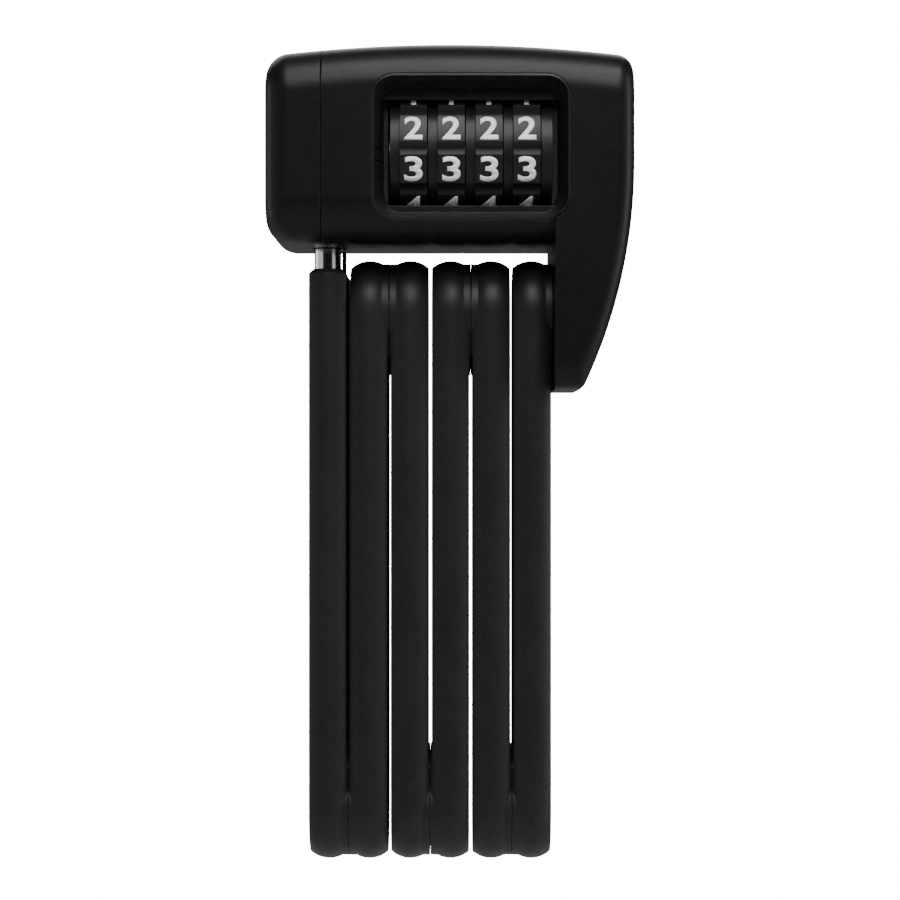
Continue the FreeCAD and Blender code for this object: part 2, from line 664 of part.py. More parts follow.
def dial_groove(angle):
    """One V groove across a dial's rim, at an angle up from the front."""
    outer = DIAL_RADIUS + GROOVE_DEPTH
    reach = GROOVE_WIDTH / 2 * (outer - DIAL_RADIUS + GROOVE_DEPTH) / GROOVE_DEPTH
    cut = prism([(-DIAL_BAND, -outer, -reach), (-DIAL_BAND, -DIAL_RADIUS + GROOVE_DEPTH, 0),
                 (-DIAL_BAND, -outer, reach)], V(2 * DIAL_BAND, 0, 0))
    return cut.rotated(V(0, 0, 0), X_AXIS, -angle)


def number_ring(x):
    """The ring that carries the digits, grooved between them."""
    ring = rod(DIAL_RADIUS, (-DIAL_BAND / 2, 0, 0), X_AXIS, DIAL_BAND)
    bore = rod(HUB_RADIUS + FIT, (-DIAL_BAND / 2, 0, 0), X_AXIS, DIAL_BAND)
    ring = ring.cut(bore)
    for position in range(DIAL_POSITIONS):
        ring = ring.cut(dial_groove(position * STEP))
    return ring.translated(V(x, DIAL_Y, DIAL_Z))


def hub_gate(angle):
    """A gate cut into a hub's rim, at an angle up from the back."""
    gate = box(-DIAL_PITCH, DIAL_PITCH, FLANGE_RADIUS - GATE_DEPTH, FLANGE_RADIUS + OVERRUN,
               -GATE_WIDTH / 2, GATE_WIDTH / 2)
    return gate.rotated(V(0, 0, 0), X_AXIS, angle)


def code_hub(x):
    """The hub inside a number ring, with the gate and the assembly slot."""
    left = -DIAL_BAND / 2
    flange = rod(FLANGE_RADIUS, (left - FLANGE_WIDTH, 0, 0), X_AXIS, FLANGE_WIDTH)
    flange = flange.cut(hub_gate(0)).cut(hub_gate(-90))
    sleeve = rod(HUB_RADIUS, (left, 0, 0), X_AXIS, DIAL_BAND)
    bore = rod(SPINDLE_RADIUS + RUNNING, (left - FLANGE_WIDTH, 0, 0), X_AXIS,
               DIAL_BAND + FLANGE_WIDTH)
    return joined([flange, sleeve]).cut(bore).translated(V(x, DIAL_Y, DIAL_Z))


def end_spacer():
    """The plain ring that fills the place right of the last dial."""
    left = DIAL_X[-1] + DIAL_BAND / 2 + 2 * DIAL_SIDE_GAP
    ring = rod(FLANGE_RADIUS, (left, DIAL_Y, DIAL_Z), X_AXIS, CHAMBER_RIGHT - left)
    return ring.cut(rod(SPINDLE_RADIUS + RUNNING, (left, DIAL_Y, DIAL_Z), X_AXIS, DIAL_BAND))


def dial_spindle():
    """The shaft through the hubs: a groove under each dial, a thin left end."""
    body = rod(SPINDLE_RADIUS, (CHAMBER_LEFT, DIAL_Y, DIAL_Z), X_AXIS,
               SPINDLE_RIGHT - CHAMBER_LEFT)
    neck = rod(SPINDLE_NECK, (SPINDLE_LEFT, DIAL_Y, DIAL_Z), X_AXIS,
               CHAMBER_LEFT - SPINDLE_LEFT)
    spindle = joined([body, neck])
    for x in DIAL_X:
        start = (x - SPINDLE_GROOVE_WIDTH / 2, DIAL_Y, DIAL_Z)
        wide = rod(SPINDLE_RADIUS + OVERRUN, start, X_AXIS, SPINDLE_GROOVE_WIDTH)
        core = rod(SPINDLE_RADIUS - SPINDLE_GROOVE, start, X_AXIS, SPINDLE_GROOVE_WIDTH)
        spindle = spindle.cut(wide.cut(core))
    return spindle


def code_set_screw():
    """The slotted screw in the end cap that pushes the spindle along."""
    head_x = HEAD_LEFT + SCREW_RECESS
    head_length = COVER_WALL + SET_HEAD_DEPTH - SCREW_RECESS - FIT
    head = rod(SET_HEAD_RADIUS, (head_x, DIAL_Y, DIAL_Z), X_AXIS, head_length)
    shank_x = head_x + head_length
    shank = rod(SET_SHANK_RADIUS, (shank_x, DIAL_Y, DIAL_Z), X_AXIS,
                SPINDLE_LEFT - FIT - shank_x)
    width, depth = SET_SLOT
    slot = box(head_x - OVERRUN, head_x + depth, DIAL_Y - SET_HEAD_RADIUS, DIAL_Y + SET_HEAD_RADIUS,
               DIAL_Z - width / 2, DIAL_Z + width / 2)
    return joined([head, shank]).cut(slot)


# ---------------------------------------------------------------- latch

def neck_centre(index):
    """X of the middle of a hub's gated flange."""
    return DIAL_X[index] - DIAL_BAND / 2 - FLANGE_WIDTH / 2


def latch_plate():
    """Keyhole plate round the bolt, with a fence and four fingers behind the dials."""
    plate = box(LATCH_LEFT, LATCH_RIGHT, LATCH_FRONT, FENCE_BACK, LATCH_LOW, LATCH_HIGH)
    riser = box(RISER_LEFT, LATCH_RIGHT, FENCE_FRONT, FENCE_BACK, LATCH_LOW,
                DIAL_Z + FENCE_HALF)
    fence = box(RISER_LEFT, FENCE_RIGHT, FENCE_FRONT, FENCE_BACK, DIAL_Z - FENCE_HALF,
                DIAL_Z + FENCE_HALF)
    fingers = []
    for index in range(DIAL_COUNT):
        x = neck_centre(index)
        fingers.append(box(x - FINGER_WIDTH / 2, x + FINGER_WIDTH / 2, FINGER_TIP, FENCE_FRONT,
                           DIAL_Z - FINGER_HEIGHT / 2, DIAL_Z + FINGER_HEIGHT / 2))
    latch = joined([plate, riser, fence] + fingers)
    slot_half = NOTCH_RADIUS + NOTCH_CLEARANCE
    narrow = rod(slot_half, (BOLT_X, 0, LATCH_LOW), Z_AXIS, LATCH_THICKNESS)
    throat = box(BOLT_X - slot_half, BOLT_X + slot_half, 0, LATCH_TRAVEL, LATCH_LOW, LATCH_HIGH)
    wide = rod(KEYHOLE_RADIUS, (BOLT_X, LATCH_TRAVEL, LATCH_LOW), Z_AXIS, LATCH_THICKNESS)
    return latch.cut(joined([narrow, throat, wide]))


def latch_room():
    """The space that the latch slides in, open to the back of the housing."""
    gap = SWING_GAP
    low, high = LATCH_LOW - gap, LATCH_HIGH + gap
    plate = box(LATCH_LEFT - gap, LATCH_RIGHT + gap, LATCH_FRONT - LATCH_TRAVEL - gap,
                POCKET_BACK, low, high)
    fence_low, fence_high = DIAL_Z - FENCE_HALF - gap, DIAL_Z + FENCE_HALF + gap
    front = FENCE_FRONT - LATCH_TRAVEL - gap
    riser = box(RISER_LEFT - gap, LATCH_RIGHT + gap, front, POCKET_BACK, low, fence_high)
    right = FENCE_RIGHT + gap
    fence = box(RISER_LEFT - gap, right, front, POCKET_BACK, fence_low, fence_high)
    opening = box(RISER_LEFT - gap, right, POCKET_BACK - gap, HEAD_DEPTH, low, fence_high)
    spring = rod(SPRING_RADIUS + SPRING_WIRE + gap / 2,
                 (LATCH_SPRING_X, LATCH_SPRING_FRONT, LATCH_Z), Y_AXIS,
                 LATCH_FRONT - LATCH_SPRING_FRONT)
    return joined([plate, riser, fence, opening, spring])


def latch_cover_limits():
    """X and Z limits of the plate behind the latch, and the Y of its two faces."""
    low, high = LATCH_LOW - SWING_GAP, DIAL_Z + FENCE_HALF + SWING_GAP
    right = FENCE_RIGHT + SWING_GAP
    back = HEAD_DEPTH / 2 - COVER_WALL - FIT
    return RISER_LEFT - SWING_GAP, right, low, high, back - COVER_PLATE, back


def plate_screw_places():
    """X and Z of the two small screws in the latch's cover plate."""
    left, right, low, high, _, _ = latch_cover_limits()
    inset = COVER_PLATE_LIP / 2
    return [(left + SWING_GAP, high + inset + PLATE_SCREW_RADIUS),
            (right - SWING_GAP, high + inset + PLATE_SCREW_RADIUS)]


def latch_cover_block(grow=0.0):
    """The latch's cover plate before its screw holes."""
    left, right, low, high, front, back = latch_cover_limits()
    lip = COVER_PLATE_LIP + grow
    return box(left - lip, right + lip, front - grow, back + OVERRUN, low - grow,
               high + COVER_PLATE_EAR + grow)


def plate_screw_set(grow=0.0):
    """The small screws, or with grow their holes."""
    top = latch_cover_limits()[-1] - FIT
    screws = []
    for x, z in plate_screw_places():
        one = screw(x, top, z, PLATE_SCREW_RADIUS, PLATE_SCREW_HEAD, PLATE_SCREW_LENGTH, grow)
        if grow:
            one = one.fuse(rod(PLATE_SCREW_HEAD + grow, (x, top, z), Y_AXIS, OVERRUN))
        else:
            one = one.cut(cross_slot(x, top, z, PLATE_SCREW_RADIUS))
        screws.append(one)
    return Part.makeCompound(screws)


def latch_cover():
    """The plate that closes the latch's space at the back."""
    block = latch_cover_block().common(head_solid(COVER_WALL + FIT))
    return block.cut(plate_screw_set(FIT))


def coil(radius, wire, length, turns, start, axis_rotation):
    """A coil spring along an axis given as a rotation of +Z."""
    helix = Part.makeHelix(length / turns, length, radius)
    section = Part.Wire(Part.makeCircle(wire, V(radius, 0, 0), V(0, 1, 0)))
    spring = Part.Wire(helix).makePipeShell([section], True, True)
    axis, angle = axis_rotation
    return spring.rotated(V(0, 0, 0), axis, angle).translated(V(*start))


def latch_spring():
    """Pushes the latch back into the bolt's groove."""
    clear = SPRING_WIRE + FIT
    length = LATCH_FRONT - LATCH_SPRING_FRONT - 2 * clear
    return coil(SPRING_RADIUS, SPRING_WIRE, length, SPRING_TURNS,
                (LATCH_SPRING_X, LATCH_SPRING_FRONT + clear, LATCH_Z), (X_AXIS, -90))


def spindle_spring():
    """Pushes the spindle back to the left."""
    clear = SPRING_WIRE + FIT
    length = SPRING_BORE_END - SPINDLE_RIGHT - 2 * clear
    return coil(SPINDLE_SPRING_RADIUS, SPRING_WIRE, length, SPRING_TURNS,
                (SPINDLE_RIGHT + clear, DIAL_Y, DIAL_Z), (Y_AXIS, 90))


# ---------------------------------------------------------------- detent

def detent_point(radius, turn):
    """A point of the YZ plane at a radius and an angle about the dials' axis."""
    angle = math.radians(turn)
    return DIAL_Y - radius * math.cos(angle), DIAL_Z + radius * math.sin(angle)


def detent_line():
    """The leaf's lower side from its base to its bent tip, as Y and Z."""
    rest = DETENT_TURNS * STEP
    toe = detent_point(DIAL_RADIUS - GROOVE_DEPTH + SWING_GAP / 2, rest)
    heel = detent_point(DIAL_RADIUS + DETENT_HEEL[0], rest + DETENT_HEEL[1])
    tip = detent_point(DIAL_RADIUS + DETENT_TIP[0], rest + DETENT_TIP[1])
    front, back = DETENT_BASE_Y
    return [(back, DETENT_BASE_Z), (front, DETENT_BASE_Z), heel, toe, tip]


def detent_strip(x_low, x_high, points, thickness):
    """A bent strip of even height between two limits of X."""
    lower = [(x_low, y, z) for y, z in points]
    upper = [(x_low, y, z + thickness) for y, z in reversed(points)]
    return prism(lower + upper, V(x_high - x_low, 0, 0))


def detent_spring():
    """One leaf with a finger in a groove of each dial."""
    points = detent_line()
    left = DIAL_X[0] - DIAL_BAND / 2
    right = DIAL_X[-1] + DIAL_BAND / 2
    base = box(left, right, *DETENT_BASE_Y, DETENT_BASE_Z,
               DETENT_BASE_Z + DETENT_THICKNESS)
    half = DETENT_FINGER_WIDTH / 2
    fingers = [detent_strip(x - half, x + half, points, DETENT_THICKNESS) for x in DIAL_X]
    return joined([base] + fingers)


def detent_room():
    """The space above the dials that the leaf needs to flex."""
    left = DIAL_X[0] - DIAL_BAND / 2 - SWING_GAP
    right = DIAL_X[-1] + DIAL_BAND / 2 + SWING_GAP
    tip_y = detent_line()[-1][0]
    return box(left, right, tip_y - SWING_GAP, DETENT_BASE_Y[1] + FIT,
               DIAL_Z + DIAL_RADIUS - GROOVE_DEPTH, DETENT_BASE_Z + DETENT_THICKNESS + FIT)


# ---------------------------------------------------------------- body of the head

def arm_screw_set(grow=0.0):
    """The two screws that hold the arm to the housing, or their holes."""
    screws = []
    for y, z in ARM_SCREWS:
        shank = rod(ARM_SCREW_RADIUS + grow, (ARM_SCREW_START, y, z), X_AXIS,
                    ARM_SCREW_SEAT - ARM_SCREW_START)
        reach = EXTENT if grow else ARM_SCREW_HEAD_LENGTH
        head = rod(ARM_SCREW_HEAD + grow, (ARM_SCREW_SEAT, y, z), X_AXIS, reach)
        one = joined([shank, head])
        if not grow:
            flat = ARM_SCREW_RADIUS
            socket = box(ARM_SCREW_SEAT + flat, ARM_SCREW_SEAT + reach + OVERRUN, y - flat, y + flat,
                         z - flat, z + flat)
            one = one.cut(socket)
        screws.append(one)
    return Part.makeCompound(screws)


def dial_room():
    """The chamber that the dials turn in, open towards the window."""
    length = CHAMBER_RIGHT - CHAMBER_LEFT
    drum = rod(DIAL_ROOM, (CHAMBER_LEFT, DIAL_Y, DIAL_Z), X_AXIS, length)
    front = box(CHAMBER_LEFT, CHAMBER_RIGHT, -HEAD_DEPTH, DIAL_Y, DIAL_Z - DIAL_ROOM,
                DIAL_Z + DIAL_ROOM)
    return joined([drum, front])


def lock_housing():
    """The cast body that carries the dials, the latch and the bolt's socket."""
    block = head_solid(COVER_WALL + FIT)
    block = block.common(box(-EXTENT, HOUSING_END, -EXTENT, EXTENT, 0, EXTENT))
    screw_bore = rod(SET_HEAD_RADIUS + FIT, (-EXTENT, DIAL_Y, DIAL_Z), X_AXIS,
                     EXTENT + HEAD_LEFT + COVER_WALL + SET_HEAD_DEPTH)
    shank_bore = rod(SET_SHANK_RADIUS + RUNNING, (HEAD_LEFT, DIAL_Y, DIAL_Z), X_AXIS,
                     SPINDLE_LEFT - HEAD_LEFT)
    neck_bore = rod(SPINDLE_NECK + RUNNING, (SPINDLE_LEFT, DIAL_Y, DIAL_Z), X_AXIS,
                    CHAMBER_LEFT - SPINDLE_LEFT)
    land_bore = rod(SPINDLE_RADIUS + RUNNING, (CHAMBER_LEFT, DIAL_Y, DIAL_Z), X_AXIS, EXTENT)
    tip_bore = bolt_profile(BOLT_RADIUS + SWING_GAP / 2, LATCH_Z, BOLT_TIP_Z + SWING_GAP)
    block = block.cut(joined([screw_bore, shank_bore, neck_bore, land_bore]))
    block = block.cut(dial_room()).cut(bezel_block(FIT)).cut(detent_room())
    block = block.cut(latch_room()).cut(latch_cover_block(FIT)).cut(plate_screw_set(FIT))
    block = block.cut(socket_cut()).cut(tip_bore)
    return block.cut(cover_screw_set(FIT)).cut(arm_screw_set(FIT))


def steel_arm():
    """The forged arm inside the covers, which the last link hangs from."""
    right = box(HOUSING_END + FIT, EXTENT, -EXTENT, EXTENT, 0, EXTENT)
    lower = arm_solid(ARM_WALL + FIT).common(right)
    upper = head_solid(COVER_WALL + FIT).common(right)
    arm = joined([lower, upper]).cut(bezel_block(FIT)).cut(arm_rivet())
    arm = arm.cut(rod(SPRING_BORE_RADIUS, (HOUSING_END, DIAL_Y, DIAL_Z), X_AXIS,
                      SPRING_BORE_END - HOUSING_END))
    return arm.cut(cover_screw_set(FIT)).cut(arm_screw_set(FIT))


def bolt_sleeve():
    """The hardened liner of the bolt's socket."""
    z_low, z_high = SOCKET_LOW, LATCH_LOW - SWING_GAP
    ring = bolt_profile(SLEEVE_RADIUS, z_low, z_high)
    ring = ring.cut(bolt_profile(BOLT_RADIUS + BOLT_CLEARANCE, z_low, z_high))
    return ring.cut(mouth_relief())


def locking_bolt():
    """The bright pin on the first link, grooved for the latch."""
    top = FIRST_LINK_HEIGHT - FIRST_LINK_CAP
    shank = bolt_profile(BOLT_RADIUS, top, BOLT_TIP_Z - BOLT_TIP_CHAMFER)
    tip = cone(BOLT_RADIUS, BOLT_RADIUS - BOLT_TIP_CHAMFER,
               (BOLT_X, 0, BOLT_TIP_Z - BOLT_TIP_CHAMFER), Z_AXIS, BOLT_TIP_CHAMFER)
    stud = bolt_profile(STUD_RADIUS, top - STUD_LENGTH, top)
    groove_low, groove_high = LATCH_LOW - NOTCH_CLEARANCE, LATCH_HIGH + BOLT_PLAY
    groove = bolt_profile(BOLT_RADIUS + OVERRUN, groove_low, groove_high)
    groove = groove.cut(bolt_profile(NOTCH_RADIUS, groove_low, groove_high))
    return joined([shank, tip, stud]).cut(groove).cut(cross_pin(FIT))


def all_pieces():
    """Every piece of the lock, by node name."""
    pieces = shell_pieces()
    pieces["window_bezel"] = window_bezel()
    pieces["lock_housing"] = lock_housing()
    pieces["steel_arm"] = steel_arm()
    pieces["arm_screws"] = arm_screw_set()
    pieces["cover_screws"] = cover_screw_set()
    pieces["bolt_sleeve"] = bolt_sleeve()
    pieces["dial_spindle"] = dial_spindle()
    pieces["spindle_spring"] = spindle_spring()
    pieces["code_set_screw"] = code_set_screw()
    pieces["end_spacer"] = end_spacer()
    pieces["detent_spring"] = detent_spring()
    pieces["latch_plate"] = latch_plate()
    pieces["latch_spring"] = latch_spring()
    pieces["latch_cover"] = latch_cover()
    pieces["latch_cover_screws"] = plate_screw_set()
    pieces["locking_bolt"] = locking_bolt()
    pieces["bolt_cross_pin"] = cross_pin()
    for index, x in enumerate(DIAL_X):
        pieces["number_ring_%d" % (index + 1)] = number_ring(x)
        pieces["code_hub_%d" % (index + 1)] = code_hub(x)
    for index in range(LINK_COUNT):
        pieces["link_%d_plate" % (index + 1)] = link_plate(index)
        pieces["link_%d_sleeve" % (index + 1)] = link_sleeve(index)
    for low_link in range(LINK_COUNT - 1):
        name = "%d%d" % (low_link + 2, low_link + 1)
        x_low, x_high = rivet_ends(low_link)
        pieces["rivet_" + name] = rivet_solid(x_low, x_high, pair_height(low_link))
        washer_x = LINK_X[low_link] + PLATE_HALF + RUNNING
        pieces["washer_" + name] = washer(washer_x, washer_x + WASHER_THICKNESS,
                                          pair_height(low_link))
    pieces["rivet_arm"] = arm_rivet()
    pieces["washer_arm"] = washer(LINK_X[-1] + PLATE_HALF + RUNNING, HOUSING_END, HIGH_PIVOT)
    return pieces


os.makedirs("parts", exist_ok=True)
for node, shape in all_pieces().items():
    shape.exportStep("parts/" + node + ".step")
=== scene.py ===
"""The visual model of a folding bike lock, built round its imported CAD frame.

The CAD nodes keep their shapes and get worked-out finishes. The figures printed on the
number dials are built here.
"""

import json
import logging
import math
from collections.abc import Iterable, Sequence
from dataclasses import dataclass, field
from enum import Enum
from typing import Any

import bmesh
import bpy
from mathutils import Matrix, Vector


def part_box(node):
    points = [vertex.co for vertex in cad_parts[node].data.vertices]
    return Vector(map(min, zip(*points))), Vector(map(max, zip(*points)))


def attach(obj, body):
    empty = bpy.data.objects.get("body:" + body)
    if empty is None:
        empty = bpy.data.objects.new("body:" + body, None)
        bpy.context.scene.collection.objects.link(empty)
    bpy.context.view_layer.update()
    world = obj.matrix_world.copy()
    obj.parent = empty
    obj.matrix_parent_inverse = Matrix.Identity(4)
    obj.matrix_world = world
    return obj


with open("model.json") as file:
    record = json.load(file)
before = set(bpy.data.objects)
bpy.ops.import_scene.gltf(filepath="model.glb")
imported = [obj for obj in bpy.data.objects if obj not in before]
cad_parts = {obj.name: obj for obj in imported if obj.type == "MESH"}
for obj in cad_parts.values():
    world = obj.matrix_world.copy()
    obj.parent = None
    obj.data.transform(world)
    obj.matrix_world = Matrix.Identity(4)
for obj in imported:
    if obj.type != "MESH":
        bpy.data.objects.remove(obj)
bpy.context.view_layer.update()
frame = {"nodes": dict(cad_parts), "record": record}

LOG = logging.getLogger("bike_lock")
MM = 0.001
NODE_SPACING = 190
FIRST_NODE_X = -1400
Colour = tuple[float, float, float]


# ---------------------------------------------------------------- node sheets


class NodeSheet:
    """A node tree being drawn up, with short ways to add and join nodes."""

    def __init__(self, tree: bpy.types.NodeTree) -> None:
        """Starts on a tree.

        Args:
            tree: The material's or the group's node tree.
        """
        self.tree = tree
        self.column = 0

    def add(self, kind: str, inputs: dict[str, Any] | None = None, **settings: Any) -> bpy.types.Node:
        """Adds a node.

        Args:
            kind: Blender's name of the node type.
            inputs: Values or output sockets for the node's named inputs.
            **settings: Properties of the node itself.

        Returns:
            The new node.
        """
        node = self.tree.nodes.new(kind)
        node.location = (self.column * NODE_SPACING + FIRST_NODE_X, 0)
        self.column += 1
        for name, value in settings.items():
            setattr(node, name, value)
        for name, value in (inputs or {}).items():
            self.feed(node.inputs[name], value)
        return node

    def feed(self, socket: bpy.types.NodeSocket, value: Any) -> None:
        """Sets an input to a plain value, or links an output socket to it."""
        if isinstance(value, bpy.types.NodeSocket):
            self.tree.links.new(value, socket)
        else:
            socket.default_value = value

    def sum_up(self, operation: str, first: Any, second: Any = 0.0,
               clamp: bool = False) -> bpy.types.NodeSocket:
        """Adds a Math node.

        Args:
            operation: Blender's name of the operation.
            first: The first value or socket.
            second: The second value or socket.
            clamp: Whether the result is held between 0 and 1.

        Returns:
            The node's output.
        """
        node = self.add("ShaderNodeMath", operation=operation, use_clamp=clamp)
        self.feed(node.inputs[0], first)
        self.feed(node.inputs[1], second)
        return node.outputs[0]

    def spread(self, value: Any, low: Any, high: Any, start: float = 0.0,
               end: float = 1.0) -> bpy.types.NodeSocket:
        """Maps a value from start..end onto low..high.

        Args:
            value: The socket to map.
            low: The result at start.
            high: The result at end.
            start: Where the range begins.
            end: Where the range ends.

        Returns:
            The mapped value.
        """
        node = self.add("ShaderNodeMapRange")
        for name, each in {"Value": value, "From Min": start, "From Max": end,
                           "To Min": low, "To Max": high}.items():
            self.feed(node.inputs[name], each)
        return node.outputs["Result"]

    def noise(self, place: Any, scale: Any, detail: float = 3.0,
              rough: float = 0.55) -> bpy.types.NodeSocket:
        """Adds a noise texture.

        Args:
            place: The coordinates that it reads.
            scale: Waves per metre.
            detail: The number of finer layers.
            rough: The strength of the finer layers.

        Returns:
            The grey value of the noise.
        """
        node = self.add("ShaderNodeTexNoise", {"Vector": place, "Scale": scale,
                                               "Detail": detail, "Roughness": rough})
        return node.outputs["Fac"]

    def place(self) -> bpy.types.NodeSocket:
        """The piece's own coordinates in metres, which move with it."""
        return self.add("ShaderNodeTexCoord").outputs["Object"]


@dataclass(frozen=True)
class GroupSocket:
    """A named input or output of a shader group."""

    name: str
    kind: str = "NodeSocketFloat"
    start: float | None = None


def new_group(name: str, inputs: Iterable[GroupSocket],
              outputs: Iterable[GroupSocket]) -> tuple[NodeSheet, Any, Any]:
    """Starts a shader group with named sockets.

    Args:
        name: The group's name.
        inputs: Its inputs.
        outputs: Its outputs.

    Returns:
        The node sheet, the group's input node and its output node.
    """
    tree = bpy.data.node_groups.new(name, "ShaderNodeTree")
    for side, sockets in (("INPUT", inputs), ("OUTPUT", outputs)):
        for each in sockets:
            made = tree.interface.new_socket(name=each.name, in_out=side, socket_type=each.kind)
            if each.start is not None:
                made.default_value = each.start
    sheet = NodeSheet(tree)
    return sheet, sheet.add("NodeGroupInput"), sheet.add("NodeGroupOutput")


def moulded_grain_group() -> bpy.types.NodeTree:
    """The fine eroded grain of a moulded surface.

    Returns:
        A group with a Height that goes to a bump.
    """
    sheet, given, made = new_group(
        "moulded_grain", [GroupSocket("Scale", start=6000.0), GroupSocket("Coarse Share", start=0.4)],
        [GroupSocket("Height")])
    place = sheet.place()
    fine = sheet.noise(place, given.outputs["Scale"], 2.0, 0.6)
    coarse_scale = sheet.sum_up("MULTIPLY", given.outputs["Scale"], 0.3)
    coarse = sheet.noise(place, coarse_scale, 2.0, 0.5)
    weighed = sheet.sum_up("MULTIPLY", coarse, given.outputs["Coarse Share"])
    sheet.feed(made.inputs["Height"], sheet.sum_up("ADD", fine, weighed))
    return sheet.tree


def handled_group() -> bpy.types.NodeTree:
    """The uneven gloss and tone that handling leaves on a surface.

    Returns:
        A group with a Roughness between two limits and a Tone near 1.
    """
    sheet, given, made = new_group(
        "handled", [GroupSocket("Scale", start=60.0), GroupSocket("Low", start=0.4),
                    GroupSocket("High", start=0.55), GroupSocket("Tone Range", start=0.1)],
        [GroupSocket("Roughness"), GroupSocket("Tone")])
    place = sheet.place()
    clouds = sheet.noise(place, given.outputs["Scale"], 4.0, 0.6)
    smears = sheet.noise(place, sheet.sum_up("MULTIPLY", given.outputs["Scale"], 7.0), 3.0, 0.65)
    blend = sheet.sum_up("ADD", sheet.sum_up("MULTIPLY", clouds, 0.6),
                         sheet.sum_up("MULTIPLY", smears, 0.4))
    even = sheet.spread(blend, 0.0, 1.0, 0.3, 0.7)
    sheet.feed(made.inputs["Roughness"], sheet.spread(even, given.outputs["Low"], given.outputs["High"]))
    swing = sheet.sum_up("MULTIPLY", sheet.sum_up("SUBTRACT", even, 0.5), given.outputs["Tone Range"])
    sheet.feed(made.inputs["Tone"], sheet.sum_up("ADD", swing, 1.0))
    return sheet.tree


def edge_wear_group() -> bpy.types.NodeTree:
    """Edges that are softened and rubbed, broken up by noise.

    Returns:
        A group with a Mask of the rubbed edges and the softened Normal.
    """
    sheet, given, made = new_group(
        "edge_wear", [GroupSocket("Radius", start=0.0003), GroupSocket("Amount", start=0.5),
                      GroupSocket("Break-up", start=900.0)],
        [GroupSocket("Mask"), GroupSocket("Normal", "NodeSocketVector")])
    bevel = sheet.add("ShaderNodeBevel", {"Radius": given.outputs["Radius"]}, samples=6)
    plain = sheet.add("ShaderNodeNewGeometry").outputs["Normal"]
    turn = sheet.add("ShaderNodeVectorMath", operation="DOT_PRODUCT")
    sheet.feed(turn.inputs[0], bevel.outputs["Normal"])
    sheet.feed(turn.inputs[1], plain)
    bend = sheet.sum_up("SUBTRACT", 1.0, turn.outputs["Value"], clamp=True)
    edge = sheet.spread(bend, 0.0, 1.0, 0.02, 0.2)
    patches = sheet.noise(sheet.place(), given.outputs["Break-up"], 4.0, 0.7)
    rubbed = sheet.spread(patches, 0.0, 1.0, 0.42, 0.62)
    worn = sheet.sum_up("MULTIPLY", edge, rubbed)
    sheet.feed(made.inputs["Mask"], sheet.sum_up("MULTIPLY", worn, given.outputs["Amount"], clamp=True))
    sheet.feed(made.inputs["Normal"], bevel.outputs["Normal"])
    return sheet.tree


def tool_marks_group() -> bpy.types.NodeTree:
    """Fine parallel marks of turning, grinding or rolling.

    Returns:
        A group with a Height for a bump and a Streak value for the gloss.
    """
    sheet, given, made = new_group(
        "tool_marks", [GroupSocket("Across", "NodeSocketVector"), GroupSocket("Scale", start=4000.0)],
        [GroupSocket("Height"), GroupSocket("Streak")])
    stretched = sheet.add("ShaderNodeVectorMath", operation="MULTIPLY")
    sheet.feed(stretched.inputs[0], sheet.place())
    sheet.feed(stretched.inputs[1], given.outputs["Across"])
    fine = sheet.noise(stretched.outputs["Vector"], given.outputs["Scale"], 3.0, 0.7)
    sheet.feed(made.inputs["Height"], fine)
    wide = sheet.sum_up("MULTIPLY", given.outputs["Scale"], 0.22)
    sheet.feed(made.inputs["Streak"], sheet.noise(stretched.outputs["Vector"], wide, 3.0, 0.6))
    return sheet.tree


@dataclass
class GroupShelf:
    """The shader groups, each made once."""

    grain: bpy.types.NodeTree = field(default_factory=moulded_grain_group)
    handled: bpy.types.NodeTree = field(default_factory=handled_group)
    edges: bpy.types.NodeTree = field(default_factory=edge_wear_group)
    marks: bpy.types.NodeTree = field(default_factory=tool_marks_group)


# ---------------------------------------------------------------- finishes


class Lay(Enum):
    """The direction of a metal's tool marks, as the stretch of its coordinates."""

    RINGS_ROUND_Z = (0.02, 0.02, 1.0)
    RINGS_ROUND_X = (1.0, 0.02, 0.02)
    GROUND_ALONG_Z = (1.0, 1.0, 0.03)
    AS_CAST = (1.0, 1.0, 1.0)


def start_material(name: str) -> tuple[bpy.types.Material, NodeSheet, bpy.types.Node]:
    """Starts a material with one Principled BSDF.

    Args:
        name: The material's name.

    Returns:
        The material, its node sheet and the Principled BSDF.
    """
    material = bpy.data.materials.new(name)
    material.use_nodes = True
    material.node_tree.nodes.clear()
    sheet = NodeSheet(material.node_tree)
    surface = sheet.add("ShaderNodeBsdfPrincipled")
    output = sheet.add("ShaderNodeOutputMaterial")
    sheet.feed(output.inputs["Surface"], surface.outputs["BSDF"])
    return material, sheet, surface


def add_group(sheet: NodeSheet, tree: bpy.types.NodeTree, inputs: dict[str, Any]) -> bpy.types.Node:
    """Places a shader group in a material.

    Args:
        sheet: The material's node sheet.
        tree: The group.
        inputs: The group's values in this material.

    Returns:
        The group node.
    """
    node = sheet.add("ShaderNodeGroup", node_tree=tree)
    for name, value in inputs.items():
        sheet.feed(node.inputs[name], value)
    return node


def mix_colours(sheet: NodeSheet, share: Any, first: Any, second: Any) -> bpy.types.NodeSocket:
    """Mixes two colours.

    Args:
        sheet: The node sheet.
        share: The share of the second colour.
        first: The first colour or socket.
        second: The second colour or socket.

    Returns:
        The mixed colour.
    """
    node = sheet.add("ShaderNodeMix", data_type="RGBA")
    sheet.feed(node.inputs[0], share)
    for socket, value in ((node.inputs[6], first), (node.inputs[7], second)):
        sheet.feed(socket, (*value, 1.0) if isinstance(value, tuple) else value)
    return node.outputs[2]


